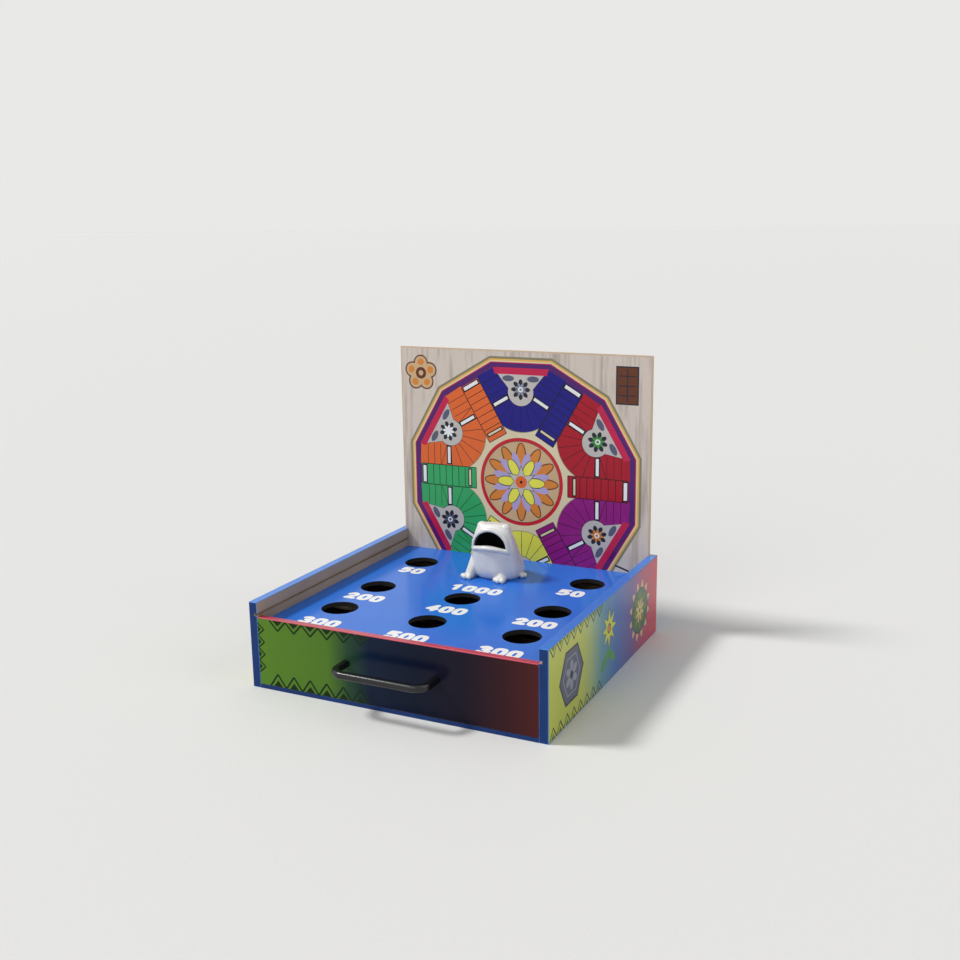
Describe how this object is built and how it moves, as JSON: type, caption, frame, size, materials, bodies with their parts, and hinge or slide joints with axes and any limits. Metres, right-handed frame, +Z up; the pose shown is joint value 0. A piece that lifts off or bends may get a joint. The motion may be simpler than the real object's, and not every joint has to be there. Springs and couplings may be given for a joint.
{
  "type": "frog toss game",
  "caption": "Flat wooden frog toss game: holed deck, hollow open-mouthed frog, sorting drawer with bow handle, and a six-player board standing behind as backboard.",
  "frame": {"origin": "centre of the box's footprint, on the surface that it stands on", "axes": "+Z up, the player stands on the -Y side and faces +Y, +X to the player's right; drawer opens along -Y"},
  "size_m": [0.4206, 0.4503, 0.407],
  "materials": {
    "blue_mdf": "MDF painted glossy blue on its edges",
    "raw_mdf": "sanded MDF",
    "red_mdf": "MDF painted crimson",
    "pine": "planed softwood",
    "hardboard": "smooth hardboard",
    "printed_vinyl": "printed self-adhesive vinyl with a gloss laminate",
    "zinc_steel": "zinc-plated steel",
    "black_coated_metal": "black powder coat",
    "brass": "cast and turned brass",
    "red_plastic": "moulded",
    "orange_plastic": "moulded",
    "yellow_plastic": "moulded",
    "green_plastic": "moulded",
    "blue_plastic": "moulded",
    "purple_plastic": "moulded",
    "ivory_plastic": "moulded, dotted dice",
    "white_enamel": "white gloss enamel over a casting",
    "beech": "turned dowel"
  },
  "bodies": {
    "box": {"bottom_panel": "blue_mdf", "side_panel_left": "blue_mdf", "side_panel_right": "blue_mdf", "back_panel": "blue_mdf", "inner_back_panel": "raw_mdf", "deck_cleat_left": "pine", "deck_cleat_right": "pine", "deck_panel": "blue_mdf", "deck_print": "printed_vinyl", "side_print_left": "printed_vinyl", "side_print_right": "printed_vinyl", "back_screws": "zinc_steel", "bottom_nails": "zinc_steel"},
    "drawer": {"drawer_front": "red_mdf", "front_print": "printed_vinyl", "drawer_side_left": "raw_mdf", "drawer_side_right": "raw_mdf", "drawer_back": "raw_mdf", "drawer_bottom": "hardboard", "lengthwise_divider_left": "hardboard", "lengthwise_divider_right": "hardboard", "cross_divider_front": "hardboard", "cross_divider_rear": "hardboard", "pull_handle": "black_coated_metal", "handle_screws": "zinc_steel", "drawer_nails": "zinc_steel", "tossing_discs": "brass", "counters_red": "red_plastic", "counters_orange": "orange_plastic", "counters_yellow": "yellow_plastic", "counters_green": "green_plastic", "counters_blue": "blue_plastic", "counters_purple": "purple_plastic", "dice": "ivory_plastic"},
    "backboard": {"backboard": "raw_mdf", "board_print": "printed_vinyl"},
    "frog": {"frog_body": "white_enamel", "frog_pegs": "beech"}
  },
  "joints": [
    {"name": "drawer_slide", "type": "slide", "parent": "box", "child": "drawer", "axis": [0, -1, 0], "range_m": [0, 0.29]},
    {"name": "backboard_lift", "type": "slide", "parent": "box", "child": "backboard", "axis": [0, 0, 1], "range_m": [0, 0.12]},
    {"name": "frog_lift", "type": "slide", "parent": "box", "child": "frog", "axis": [0, 0, 1], "range_m": [0, 0.12]}
  ]
}
